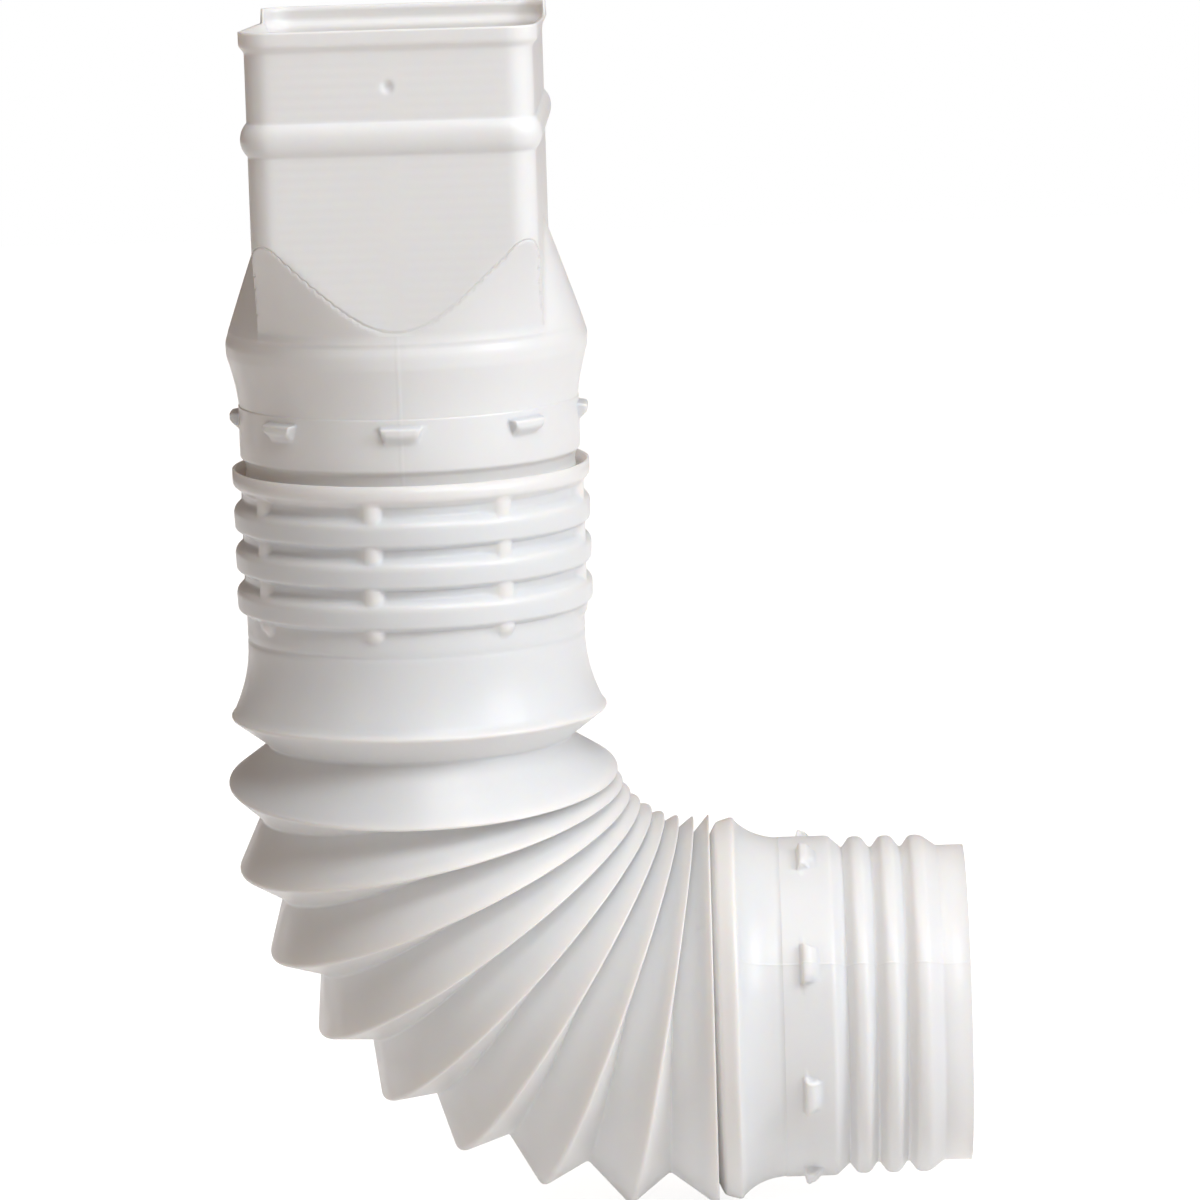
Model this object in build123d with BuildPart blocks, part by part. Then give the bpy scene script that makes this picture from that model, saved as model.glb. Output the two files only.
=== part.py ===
from build123d import *
import os
from math import asin, cos, degrees, radians, sin, sqrt

# A downspout adapter in two blow-moulded pieces: a socket piece for a rectangular downspout,
# plugged into the bell of a flexible elbow whose bellows is set in a right-angle bend.
# Millimetres. The origin is the middle of the socket's mouth, +Z points up out of the mouth
# and the front faces -Y. Stations are depths below the mouth unless a comment says otherwise.

# Walls and the fit between the two pieces
socket_wall = 1.1
elbow_wall = 0.9
closed_wall = 0.5
seat_clearance = 0.25

# Rectangular socket with its lip, its stiffening bead and the screw dimple
socket_width = 86.8
socket_depth = 109.2
corner_radius = 8.0
lip_rise = 1.6
lip_face = 4.3
lip_height = 6.3
scoop_depth = 4.4
bead_station = 32.5
bead_height = 10.2
bead_rise = 2.1
bead_root = 0.5
dimple_station = 17.2
dimple_radius = 2.4
dimple_depth = 0.5

# Transition from the rectangle to the round: the corners are cut by a flared cone while a
# rounded shoulder grows out of the two side walls, down to a crease, a ring and a neck. The lines of
# the neck's two ends meet at its bend, a depth below the ring's end and a rise outside the neck.
transition_top = 62.4
transition_end = 92.5
corner_cut_top_radius = 68.0
corner_cut_middle_radius = 60.0
corner_cut_middle = 77.5
crease_station = 95.2
shoulder_radius = 54.9
shoulder_middle_radius = 49.9
shoulder_middle = 80.6
ring_radius = 55.9
ring_station = 98.6
ring_end = 102.5
ring_end_radius = 55.7
neck_bend = 9.4
neck_bend_rise = 0.5

# Round spigot: a band with lugs, then ribs, then a plain end. The adapter and the elbow end alike,
# and their bands, lugs and ribs are counted down from the top of the band.
band_station = 118.0
band_radius = 52.6
band_step = 0.2
band_length = 17.3
band_edge = 1.4
rib_drop = 1.4
rib_count = 3
first_rib = 24.3
rib_pitch = 9.38
rib_crest = 3.6
rib_base = 8.5
rib_height = 3.4
last_rib_ramp = 6.5
spigot_length = 58.1
lug_count = 8
lug_rise = 2.8
lug_width = 13.4
lug_crest_width = 11.4
lug_length = 7.2
lug_crest_length = 1.8
lug_top = 1.8
lug_crest_drop = 1.6
lug_root = 1.5

# Bell of the elbow, counted down from its own mouth. The lines of the flare's two ends meet at its
# bend, a depth below the flare's start.
bell_gap = 2.3
bell_lip_rise = 2.6
bell_lip_face = 4.9
bell_lip_height = 7.2
bell_ring_rise = 2.45
bell_ring_count = 3
first_bell_ring = 15.0
bell_ring_pitch = 12.6
bell_ring_crest = 3.8
bell_ring_base = 9.5
bell_column_count = 8
bell_column_azimuth = -56.2
bell_column_radius = 2.65
bell_column_rise = 1.25
bell_column_end = 49.0
flare_start = 55.2
flare_bend = 11.3

# Bellows. Each fold tips the next crest towards its closing side, where the crests lie closer.
# A pitch is the distance of two crests along that side or the open one, and an azimuth is
# counted from +X towards +Y at the bell and carried along the bellows.
crest_zero_depth = 77.7
crest_zero_radius = 58.1
crest_radius = 61.3
last_crest_radius = 59.7
first_closed_pitch = 14.06
first_open_pitch = 27.64
first_closing_azimuth = 91.0
second_closing_azimuth = -8.5
bend_fold_count = 8
closed_pitch = 4.43
open_pitch = 28.51
bend_closing_azimuth = 0.8
fold_shift = 1.05
closed_spare = 1.33
open_spare = 5.79
last_fold_pitch = 6.9
nested_short_flank = 9.0
nested_long_flank = 11.0

# Outlet cuff of the elbow, counted down from the last crest
outlet_band_radius = 53.3
outlet_rib_drop = 0.5
outlet_flare_length = 14.0
outlet_flare_bend = 5.0
outlet_flare_bend_rise = 0.6
outlet_lug_azimuth = -58.7
outlet_lug_top = 5.6
end_overlap = 2.0

# Worked out from the driving dimensions: the bell takes the adapter's ribs with the clearance,
# and two flanks are a little longer than an open fold and differ by less than a closed one
rib_radius = band_radius - rib_drop
outlet_rib_radius = outlet_band_radius - outlet_rib_drop
neck_radius = band_radius - band_step
bell_wall_radius = rib_radius + seat_clearance + elbow_wall
short_flank = (open_pitch + open_spare - closed_pitch + closed_spare) / 2
long_flank = (open_pitch + open_spare + closed_pitch - closed_spare) / 2
bell_top = band_station + band_length + bell_gap
crest_zero_station = bell_top + crest_zero_depth


def cuff_points(start, band, rib, inset, plug=0.0):
    """Outline of a spigot from its band to its plain end, as radius and height, moved in by inset."""
    crest = rib - inset
    plain = crest - rib_height
    points = [
        (band - inset, -start),
        (band - inset, -start - band_length + band_edge),
        (band - inset - band_edge, -start - band_length),
        (plain, -start - first_rib + rib_base / 2),
    ]
    for number in range(rib_count):
        middle = -start - first_rib - number * rib_pitch
        ramp = last_rib_ramp if number == rib_count - 1 else rib_base / 2
        points += [
            (plain, middle + rib_base / 2),
            (crest, middle + rib_crest / 2),
            (crest, middle - rib_crest / 2),
            (plain, middle - ramp),
        ]
    points.append((plain, -start - spigot_length - plug))
    return [point for k, point in enumerate(points) if point != points[k - 1]]


def lug_block(start, band, top):
    """One lug of a band: a frustum with a steep side upstream and a ramp downstream, at azimuth 0."""
    root_height = -start - top - lug_length / 2
    crest_height = -start - top - lug_crest_drop
    with BuildPart() as block:
        with BuildSketch(Plane((band - lug_root, 0, root_height), x_dir=(0, 1, 0), z_dir=(1, 0, 0))):
            Rectangle(lug_width, lug_length)
        with BuildSketch(Plane((band + lug_rise, 0, crest_height), x_dir=(0, 1, 0), z_dir=(1, 0, 0))):
            Rectangle(lug_crest_width, lug_crest_length)
        loft()
    return block.part


def collar(width, depth, radius, station, height, rise):
    """A bead round the socket: a circle segment of the given height and rise, swept round the tube."""
    with BuildSketch(Plane.XY.offset(-station)) as outline:
        RectangleRounded(width, depth, radius)
    path = outline.sketch.wire()
    outward = (path % 0).cross(Vector(0, 0, 1))
    with BuildPart() as ring:
        with BuildSketch(Plane(path @ 0, x_dir=outward, z_dir=outward.cross(Vector(0, 0, 1)))):
            with BuildLine():
                ThreePointArc((0, -height / 2), (rise, 0), (0, height / 2))
                Polyline((0, height / 2), (-bead_root, height / 2), (-bead_root, -height / 2),
                         (0, -height / 2))
            make_face()
        sweep(path=path)
    return ring.part


def adapter_form(inset, plug=0.0):
    """The adapter filled solid, with its skin moved in by inset and its ends drawn out by plug."""
    width = socket_width - 2 * inset
    depth = socket_depth - 2 * inset
    radius = corner_radius - inset
    with BuildPart() as form:
        with BuildSketch(Plane.XY.offset(-crease_station)):
            RectangleRounded(width, depth, radius)
        extrude(amount=crease_station + plug)

        # The flared cone that cuts the corners leaves an arch on the front and back walls
        with BuildSketch(Plane.XZ):
            with BuildLine():
                reach = 2 * socket_depth
                Polyline((0, -crease_station), (0, plug), (reach, plug), (reach, -transition_top),
                         (corner_cut_top_radius - inset, -transition_top))
                ThreePointArc(
                    (corner_cut_top_radius - inset, -transition_top),
                    (corner_cut_middle_radius - inset, -corner_cut_middle),
                    (socket_depth / 2 - inset, -transition_end),
                )
                Polyline((socket_depth / 2 - inset, -transition_end),
                         (socket_depth / 2 - inset, -crease_station), (0, -crease_station))
            make_face()
        revolve(axis=Axis.Z, mode=Mode.INTERSECT)

        # Shoulder, ring, neck and spigot
        with BuildSketch(Plane.XZ):
            with BuildLine():
                Line((0, -transition_top), (width / 2, -transition_top))
                ThreePointArc(
                    (width / 2, -transition_top),
                    (shoulder_middle_radius - inset, -shoulder_middle),
                    (shoulder_radius - inset, -crease_station),
                )
                Polyline((shoulder_radius - inset, -crease_station), (ring_radius - inset, -ring_station),
                         (ring_end_radius - inset, -ring_end))
                Bezier(
                    (ring_end_radius - inset, -ring_end),
                    (neck_radius + neck_bend_rise - inset, -ring_end - neck_bend),
                    (neck_radius - inset, -band_station),
                )
                Polyline((neck_radius - inset, -band_station),
                         *cuff_points(band_station, band_radius, rib_radius, inset, plug),
                         (0, -band_station - spigot_length - plug), (0, -transition_top))
            make_face()
        revolve(axis=Axis.Z)

        # Lip: an outward step under the mouth, chamfered below
        with BuildSketch(Plane.XY.offset(plug)):
            RectangleRounded(width + 2 * lip_rise, depth + 2 * lip_rise, radius + lip_rise)
        extrude(amount=-lip_face - plug)
        with BuildSketch(Plane.XY.offset(-lip_face)):
            RectangleRounded(width + 2 * lip_rise, depth + 2 * lip_rise, radius + lip_rise)
        with BuildSketch(Plane.XY.offset(-lip_height)):
            RectangleRounded(width, depth, radius)
        loft(ruled=True)

        add(collar(width, depth, radius, bead_station, bead_height, bead_rise))
    return form.part


# Socket piece
with BuildPart() as downspout_adapter:
    add(adapter_form(0.0))
    with PolarLocations(0, lug_count, start_angle=-90):
        add(lug_block(band_station, band_radius, lug_top))
    add(adapter_form(socket_wall, end_overlap), mode=Mode.SUBTRACT)

    # The trimmed rim falls away along both sides, from the front corners to the back ones
    with BuildSketch(Plane.YZ):
        run = socket_depth / 2 - corner_radius
        with BuildLine():
            Polyline((-run, 0), (run, -scoop_depth), (run, end_overlap), (-run, end_overlap), (-run, 0))
        make_face()
    extrude(amount=socket_width, both=True, mode=Mode.SUBTRACT)

    # Dimple that marks the screw's place
    dimple_ball = (dimple_radius**2 + dimple_depth**2) / (2 * dimple_depth)
    with Locations((0, -socket_depth / 2 - dimple_ball + dimple_depth, -dimple_station)):
        Sphere(dimple_ball, mode=Mode.SUBTRACT)


def fold_list():
    """Closed pitch, open pitch, closing azimuth and shift of each fold, from the bell to the outlet."""
    azimuths = [second_closing_azimuth] + [bend_closing_azimuth] * (bend_fold_count - 1)
    return [
        (first_closed_pitch, first_open_pitch, first_closing_azimuth, 0.0),
        *[(closed_pitch, open_pitch, azimuth, fold_shift) for azimuth in azimuths],
        (last_fold_pitch, last_fold_pitch, bend_closing_azimuth, 0.0),
    ]


def tip(turn, closing):
    """A turn that lifts the closing side of the ring below."""
    return Location((0, 0, 0), (0, 0, closing)) * Location((0, 0, 0), (0, -turn, -closing))


def crest_frames():
    """Frames of the crest circles. Each fold tips half its turn, steps down and tips the other half."""
    frames = [Location((0, 0, -crest_zero_station))]
    for closed, opened, closing, shift in fold_list():
        side = radians(closing)
        half_turn = degrees(asin((opened - closed) / (4 * crest_radius)))
        step = Location((shift * cos(side), shift * sin(side), -(closed + opened) / 2))
        frames.append(frames[-1] * tip(half_turn, closing) * step * tip(half_turn, closing))
    return frames


def rim_point(plane, radius, closing, sign):
    """A point of a circle, on its closing side for sign 1 and on its open side for sign -1."""
    side = radians(closing)
    return plane.from_local_coords((sign * radius * cos(side), sign * radius * sin(side), 0))


def circle_across(closed, opened, plane):
    """Plane and radius of the circle that spans two opposite points, with plane's x direction carried."""
    across = closed - opened
    spanned = Plane((closed + opened) / 2, x_dir=plane.x_dir, z_dir=across.cross(plane.z_dir).cross(across))
    return spanned, across.length / 2


def valley_point(upper, lower, centre, short, long):
    """The corner of two flanks of fixed length between two crests, on the side of the bellows' middle."""
    base = upper - lower
    along = (long**2 - short**2 + base.length**2) / (2 * base.length)
    inward = centre - lower
    inward = inward - base.normalized() * inward.dot(base.normalized())
    return lower + base.normalized() * along + inward.normalized() * sqrt(long**2 - along**2)


def bellows_circles():
    """Plane, radius and closing azimuth of each crest and each valley of the outer skin, in turn."""
    folds = fold_list()
    crests = [Plane(frame) for frame in crest_frames()]
    radii = [crest_zero_radius] + [crest_radius] * (len(folds) - 1) + [last_crest_radius]
    circles = []
    for number, (_, _, closing, _) in enumerate(folds):
        nested = number == len(folds) - 1
        short, long = (nested_short_flank, nested_long_flank) if nested else (short_flank, long_flank)
        upper, lower = crests[number], crests[number + 1]
        centre = (upper.origin + lower.origin) / 2
        corners = [
            valley_point(rim_point(upper, radii[number], closing, sign),
                         rim_point(lower, radii[number + 1], closing, sign), centre, short, long)
            for sign in (1, -1)
        ]
        circles.append((upper, radii[number], closing))
        circles.append((*circle_across(*corners, upper), closing))
    circles.append((crests[-1], radii[-1], bend_closing_azimuth))
    return circles


def inner_circle(circles, number):
    """The circle of the inner skin at a crest or valley, where the walls of its two flanks meet."""
    plane, radius, closing = circles[number]
    if number in (0, len(circles) - 1):
        return plane, radius - elbow_wall
    towards_axis = 1 if number % 2 == 0 else -1
    corners = []
    for sign, wall in ((1, closed_wall), (-1, elbow_wall)):
        above, corner, below = [
            rim_point(near, reach, closing, sign) for near, reach, _ in circles[number - 1:number + 2]
        ]
        flank = (above - corner).normalized()
        bisector = (flank + (below - corner).normalized()).normalized()
        corners.append(corner + bisector * (towards_axis * wall / flank.cross(bisector).length))
    return circle_across(*corners, plane)


def bell_form(inset, plug=0.0):
    """The bell filled solid down to the first crest, with its skin moved in by inset."""
    wall = bell_wall_radius - inset
    lip = wall + bell_lip_rise
    ring = wall + bell_ring_rise
    points = [
        (lip, -bell_top + plug),
        (lip, -bell_top - bell_lip_face),
        (wall, -bell_top - bell_lip_height),
    ]
    for number in range(bell_ring_count):
        middle = -bell_top - first_bell_ring - number * bell_ring_pitch
        points += [
            (wall, middle + bell_ring_base / 2),
            (ring, middle + bell_ring_crest / 2),
            (ring, middle - bell_ring_crest / 2),
            (wall, middle - bell_ring_base / 2),
        ]
    flare_top = (wall, -bell_top - flare_start)
    flare_end = (crest_zero_radius - inset, -crest_zero_station)
    with BuildPart() as form:
        with BuildSketch(Plane.XZ):
            with BuildLine():
                Polyline((0, -bell_top + plug), *points, flare_top)
                Bezier(flare_top, (wall, -bell_top - flare_start - flare_bend), flare_end)
                Polyline(flare_end, (0, -crest_zero_station), (0, -bell_top + plug))
            make_face()
        revolve(axis=Axis.Z)
    return form.part


def outlet_form(inset, plug=0.0):
    """The outlet filled solid, hanging below the last crest at the origin, moved in by inset."""
    neck = outlet_band_radius - band_step - inset
    crest = last_crest_radius - inset
    with BuildPart() as form:
        with BuildSketch(Plane.XZ):
            with BuildLine():
                Line((0, 0), (crest, 0))
                Bezier((crest, 0), (neck + outlet_flare_bend_rise, -outlet_flare_bend),
                       (neck, -outlet_flare_length))
                Polyline(
                    (neck, -outlet_flare_length),
                    *cuff_points(outlet_flare_length, outlet_band_radius, outlet_rib_radius, inset, plug),
                    (0, -outlet_flare_length - spigot_length - plug),
                    (0, 0),
                )
            make_face()
        revolve(axis=Axis.Z)
    return form.part


def elbow_form(inner):
    """The whole elbow filled solid, for its outer or its inner skin.

    A closed fold reaches back past the disc of its crest but never past its valleys, so each loft
    runs from one valley over a crest to the next valley.
    """
    inset = elbow_wall if inner else 0.0
    plug = end_overlap if inner else 0.0
    circles = bellows_circles()
    if inner:
        sections = [inner_circle(circles, number) for number in range(len(circles))]
    else:
        sections = [(plane, radius) for plane, radius, _ in circles]
    with BuildPart() as form:
        for crest in range(0, len(sections), 2):
            for plane, radius in sections[max(crest - 1, 0):crest + 2]:
                with BuildSketch(plane):
                    Circle(radius)
            loft(ruled=True)
        add(bell_form(inset, plug))
        with Locations(crest_frames()[-1]):
            add(outlet_form(inset, plug))
    return form.part


# Flexible elbow, one moulding from the bell to the outlet
with BuildPart() as flexible_elbow:
    add(elbow_form(inner=False))
    column_top = bell_top + bell_lip_face
    column_length = bell_column_end - bell_lip_face
    with Locations((0, 0, -column_top - column_length / 2)):
        with PolarLocations(bell_wall_radius + bell_column_rise - bell_column_radius,
                            bell_column_count, start_angle=bell_column_azimuth):
            Cylinder(bell_column_radius, column_length)
    with Locations(crest_frames()[-1]):
        with PolarLocations(0, lug_count, start_angle=outlet_lug_azimuth):
            add(lug_block(outlet_flare_length, outlet_band_radius, outlet_lug_top))
    add(elbow_form(inner=True), mode=Mode.SUBTRACT)


os.makedirs("parts", exist_ok=True)
downspout_adapter.part.label = "downspout_adapter"
flexible_elbow.part.label = "flexible_elbow"
export_step(downspout_adapter.part, "parts/downspout_adapter.step")
export_step(flexible_elbow.part, "parts/flexible_elbow.step")
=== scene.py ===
from math import ceil

import bpy
import numpy as np
from bpy.props import FloatProperty, FloatVectorProperty, PointerProperty
from mathutils import Matrix, Vector


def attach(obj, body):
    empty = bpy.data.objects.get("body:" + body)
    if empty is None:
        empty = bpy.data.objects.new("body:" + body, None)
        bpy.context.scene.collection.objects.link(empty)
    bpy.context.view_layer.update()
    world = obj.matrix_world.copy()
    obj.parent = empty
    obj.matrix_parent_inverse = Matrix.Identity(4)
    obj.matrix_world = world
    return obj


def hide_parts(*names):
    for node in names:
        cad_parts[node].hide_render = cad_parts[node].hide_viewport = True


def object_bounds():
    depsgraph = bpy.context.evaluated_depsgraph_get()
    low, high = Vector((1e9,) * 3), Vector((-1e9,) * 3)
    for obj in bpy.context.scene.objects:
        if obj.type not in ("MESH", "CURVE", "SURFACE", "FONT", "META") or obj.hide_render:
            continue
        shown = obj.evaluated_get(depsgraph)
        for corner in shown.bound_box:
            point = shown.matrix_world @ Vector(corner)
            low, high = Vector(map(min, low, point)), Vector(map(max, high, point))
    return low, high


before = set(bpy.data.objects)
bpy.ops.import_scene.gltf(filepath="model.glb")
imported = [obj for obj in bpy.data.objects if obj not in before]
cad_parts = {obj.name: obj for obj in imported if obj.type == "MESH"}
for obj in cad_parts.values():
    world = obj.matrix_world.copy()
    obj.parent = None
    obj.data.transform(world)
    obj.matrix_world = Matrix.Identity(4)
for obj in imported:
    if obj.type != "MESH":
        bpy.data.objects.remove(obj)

CAD_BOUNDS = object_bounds()

# Blender add-on "Downspout adapter": the visible surfaces of a rectangular downspout socket plugged
# into a flexible elbow. Metres; the origin is the middle of the socket's mouth, +Z points up out of
# it and the front faces -Y. A station is a depth below the mouth.

bl_info = {
    "name": "Downspout adapter",
    "version": (1, 0, 0),
    "blender": (4, 5, 0),
    "location": "3D View > Sidebar > Downspout",
    "description": "Surfaces, plastic and studio for a downspout adapter with a flexible elbow",
    "category": "Add Mesh",
}

BODY = "root"
PLASTIC = "white_blow_moulded_plastic"

# Socket: lip, bead, screw dimple and the fine grooves that the mould left on the walls
SOCKET_WALL = 0.0011
LIP_FACE = 0.0043
LIP_HEIGHT = 0.0063
BEAD_STATION = 0.0325
BEAD_HEIGHT = 0.0102
BEAD_RISE = 0.0021
BEAD_ROWS = 13
DIMPLE_X = -0.0003
DIMPLE_STATION = 0.0172
DIMPLE_RADIUS = 0.0024
DIMPLE_DEPTH = 0.0008
SCOOP_DEPTH = 0.0044
SCOOP_FADE = 0.014
SCOOP_END = 0.0008
GROOVE_PITCH = 0.0031
GROOVE_DEPTH = 0.00012
GROOVE_TOP = 0.008
GROOVE_STRIPE = 0.0026
GROOVE_REACH = 0.037
GROOVE_REACH_FADE = 0.003
GROOVE_END_FADE = 0.001
GROOVE_STRIPE_FADE = 0.0008
FRONT_BAND = 0.0008
LIP_CORNER = 0.0008
LARGEST_ROUNDING = 0.45

# Transition, ring and neck. A blend is the difference of two radii at which they begin to run into one
# another, and a corner is the length of each flank that its rounding takes
TRANSITION_TOP = 0.0624
TRANSITION_END = 0.0925
ARCH_BLEND = 0.0003
SHOULDER_BLEND = 0.001
CUT_TOP_RADIUS = 0.068
CUT_MIDDLE_RADIUS = 0.060
CUT_MIDDLE = 0.0775
CREASE_STATION = 0.0952
CREASE_GAP = 0.0002
SHOULDER_RADIUS = 0.0549
SHOULDER_MIDDLE_RADIUS = 0.0499
SHOULDER_MIDDLE = 0.0806
RING_RADIUS = 0.0559
RING_STATION = 0.0986
RING_CORNER = 0.001
RING_END = 0.1025
RING_END_RADIUS = 0.0557
RING_END_CORNER = 0.0008
NECK_BEND = 0.1119
NECK_BEND_RISE = 0.0005
NECK_ROWS = 10

# Spigot with its band, lugs and ribs. The groove in front of its first rib stays shallow, which fills the
# bell's mouth
BAND_STATION = 0.118
BAND_RADIUS = 0.0526
BAND_STEP = 0.0002
BAND_STEP_RUN = 0.0002
BAND_STEP_CORNER = 0.0001
BAND_LENGTH = 0.0173
BAND_EDGE = 0.0014
BAND_EDGE_CORNER = 0.0006
NECK_RADIUS = BAND_RADIUS - BAND_STEP
RIB_RADIUS = BAND_RADIUS - 0.0014
RIB_COUNT = 3
FIRST_RIB = 0.0243
RIB_PITCH = 0.00938
RIB_CREST = 0.0036
RIB_BASE = 0.0085
RIB_HEIGHT = 0.0034
LAST_RIB_RAMP = 0.0065
RIB_CORNERS = (0.0005, 0.0014, 0.0014, 0.0005)
MOUTH_ROOT_DROP = 0.0004
SPIGOT_LENGTH = 0.0581
LUG_COUNT = 8
LUG_RISE = 0.0028
LUG_TOP = 0.0018
LUG_WIDTH = 0.0144
LUG_CREST_WIDTH = 0.0124
LUG_LENGTH = 0.0072
LUG_CREST_LENGTH = 0.0024
LUG_CREST_DROP = 0.0019
LUG_ROOT = 0.0015
LUG_ROUNDING = 0.0009
LUG_TAPER = 0.33
LUG_BLEND = 0.0005
LUG_FLOOR = 0.004
LUG_ZONE = 0.0095
LUG_ROW_STEP = 0.00045

# Parting seams, as fine ridges
SEAM_RISE = 0.00012
SEAM_HALF_WIDTH = 0.0003
OUTLET_SEAM_RISE = 0.0001
OUTLET_SEAM_HALF_WIDTH = 0.00035

# Bell of the elbow. A corner of a ring is its distance from the wall, its height above the ring's middle
# and the length of each flank that its rounding takes
ELBOW_WALL = 0.0009
CLOSED_WALL = 0.0005
SEAT_CLEARANCE = 0.00025
BELL_TOP = BAND_STATION + BAND_LENGTH + 0.0023
BELL_WALL_RADIUS = RIB_RADIUS + SEAT_CLEARANCE + ELBOW_WALL
BELL_LIP_RADIUS = BELL_WALL_RADIUS + 0.0029
BELL_LIP_FACE = 0.0049
BELL_LIP_HEIGHT = 0.0072
BELL_LIP_START = 0.0003
BELL_LIP_CORNERS = (0.001, 0.0006)
BELL_RING_COUNT = 3
FIRST_BELL_RING = 0.015
BELL_RING_PITCH = 0.0126
BELL_RING = (
    (0.0, 0.0052, 0.0008),
    (0.0029, 0.0025, 0.0016),
    (0.0026, -0.0036, 0.0008),
    (0.0, -0.005, 0.0004),
)
NOTCH_DEPTH = 0.00035
NOTCH = 0.0532
NOTCH_HALF_WIDTH = 0.0007
NUB_COUNT = 8
NUB_AZIMUTH = -56.2
NUB_RADIUS = 0.0040
NUB_RISE = 0.0022
NUB_END = 0.049
NUB_BLEND = 0.0005
NUB_ROWS_END = 0.0015
NUB_ROW_STEP = 0.0009
INNER_NUB_ROW_STEP = 0.004
FLARE_START = 0.0552
FLARE_BEND = 0.0665
FLARE_ROWS = 14

# Bellows. Each fold tips the next crest towards its closing side, where the crests lie closer: a pitch is
# the distance of two crests along that side or the open one, and an azimuth is in degrees. The flanks of a
# fold add up to the open pitch and its spare, and differ by the closed pitch less its spare. A crown is how
# far a crest stands out of its circle, all round and, crest by crest, on the open side. From the late crest
# on a rounding takes more of its flanks, and the last crest is a rim with a width
CREST_ZERO_DEPTH = 0.0777
CREST_ZERO_RADIUS = 0.0581
LAST_CREST_RADIUS = 0.0597
FIRST_PITCHES = (0.01406, 0.02764)
FIRST_CLOSING = 91.0
SECOND_CLOSING = -8.5
BEND_FOLD_COUNT = 8
BEND_CLOSING = 0.8
CLOSED_PITCH = 0.00443
FOLD_SHIFT = 0.00105
CLOSED_SPARE = 0.00133
OPEN_SPARE = 0.00579
LAST_FOLD_PITCH = 0.0069
FIRST_VALLEY_RADIUS = 0.0468
FIRST_VALLEY_DEPTH = 0.0089
CREST_CROWN = 0.0004
OPEN_CROWNS = (0.0005, -0.0012, 0.0002, 0.0010, 0.0014, 0.0012, 0.0014, 0.0010, 0.0008, 0.0006, 0.0)
LAST_RIM_WIDTH = 0.0053
LAST_RIM_DROP = 0.0016
LAST_RIM_CORNER = 0.0012
LATE_CREST = 6
LATE_CREST_EXTRA = 0.0005
NESTED_SHORT_FLANK = 0.009
NESTED_LONG_FLANK = 0.011

# Outlet of the elbow
OUTLET_BAND_RADIUS = 0.0533
OUTLET_RIB_RADIUS = OUTLET_BAND_RADIUS - 0.0005
OUTLET_FLARE_LENGTH = 0.014
OUTLET_FLARE_BEND = 0.005
OUTLET_FLARE_BEND_RISE = 0.0006
OUTLET_LUG_AZIMUTH = -58.7
OUTLET_LUG_TOP = 0.0056
OUTLET_FLARE_ROWS = 12
OUTLET_EDGE_CORNER = 0.0011
OUTLET_ROW_STEP = 0.0006
OUTLET_INNER_ROW_STEP = 0.0025

# Grids: step between rows and rows to a rounded corner, and what counts as the same height
TOUCH = 0.0001
TINY = 1e-9
SOCKET_GRID = (0.00078, 5)
SOCKET_INNER_GRID = (0.0024, 3)
ELBOW_CORNER_ROWS = 5
ELBOW_INNER_CORNER_ROWS = 2
ROUND_CORNER_ROWS = 3

# Columns beside the middle of a lug, a nub or a seam, and beyond the ends of a corner, in degrees; those of
# the dimple are parts of its radius
CORNER_COLUMNS = 11
CORNER_MARGIN = 0.4
LUG_COLUMNS = (5.7, 6.1, 6.5, 6.9, 7.4)
OUTLET_LUG_COLUMNS = (5.9, 6.3, 6.8, 7.3)
NUB_COLUMNS = (0.0, 0.9, 1.7, 2.3, 2.8)
SEAM_COLUMNS = (0.0, 0.22, 0.45)
OUTLET_SEAM_COLUMNS = (0.0, 0.25, 0.5)
DIMPLE_COLUMNS = (0.0, 0.23, 0.46, 0.69, 0.92, 1.15)
FIRST_LUG_AZIMUTH = -90.0
BACK_SEAM_AZIMUTH = 90.0
FRONT_AZIMUTH = 270.0

# White plastic: scale and detail of each noise, with the height of a dent
NOISE_RANGE = (0.35, 0.65)
CLOUDS = (22.0, 3.0)
GLOSS_PATCHES = (140.0, 4.0)
GLOSS_FALL = 0.04
GLOSS_RISE = 0.06
DENTS = ((38.0, 2.0, 0.00025), (520.0, 3.0, 0.00001))
ARCH_GROOVE_WIDTH = 0.8
ARCH_GROOVE_DEPTH = 0.0003
SCATTER_COLOUR = (1.0, 0.66, 0.42)
SCATTER_DEPTH = 0.004
REFRACTION = 1.5

# Camera, worked out from the ellipses of the crests. The picture is 1200 pixels wide
PIXEL = 0.000311
PICTURE = 1200
FOCAL_PIXELS = 7000.0
CREST_ZERO_PIXEL = (419.5, 708.7)
CAMERA_ELEVATION = 8.88
CAMERA_AZIMUTH = 1.5
CAMERA_ROLL = 1.78
SENSOR = 36.0
CLIP_END = 20.0

# Stage. A softbox is its azimuth to the right of the front, its elevation, its distance and its size
KEY_SOFTBOX = (62.0, 28.0, 1.5, 0.6)
FRONT_SOFTBOX = (24.0, 48.0, 1.5, 0.6)
TOP_SOFTBOX = (20.0, 80.0, 1.4, 0.8)
LAMP_TARGET = (0.03, 0.0, -0.2)
WHITE = (1.0, 1.0, 1.0)
FLOOR_HALF_WIDTH = 3.0
FLOOR_COLOUR = (0.86, 0.86, 0.86)
FLOOR_ROUGHNESS = 0.9
FLOOR_SHEEN = 0.2
FLOOR_GLOW = 0.87


def metres(name, description, default, low=0.0):
    """A size of at least low."""
    return FloatProperty(name=name, description=description, default=default, min=low, unit="LENGTH")


def tone(name, description, default):
    """A colour."""
    return FloatVectorProperty(
        name=name, description=description, default=default, subtype="COLOR", size=3, min=0.0, max=1.0)


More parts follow.
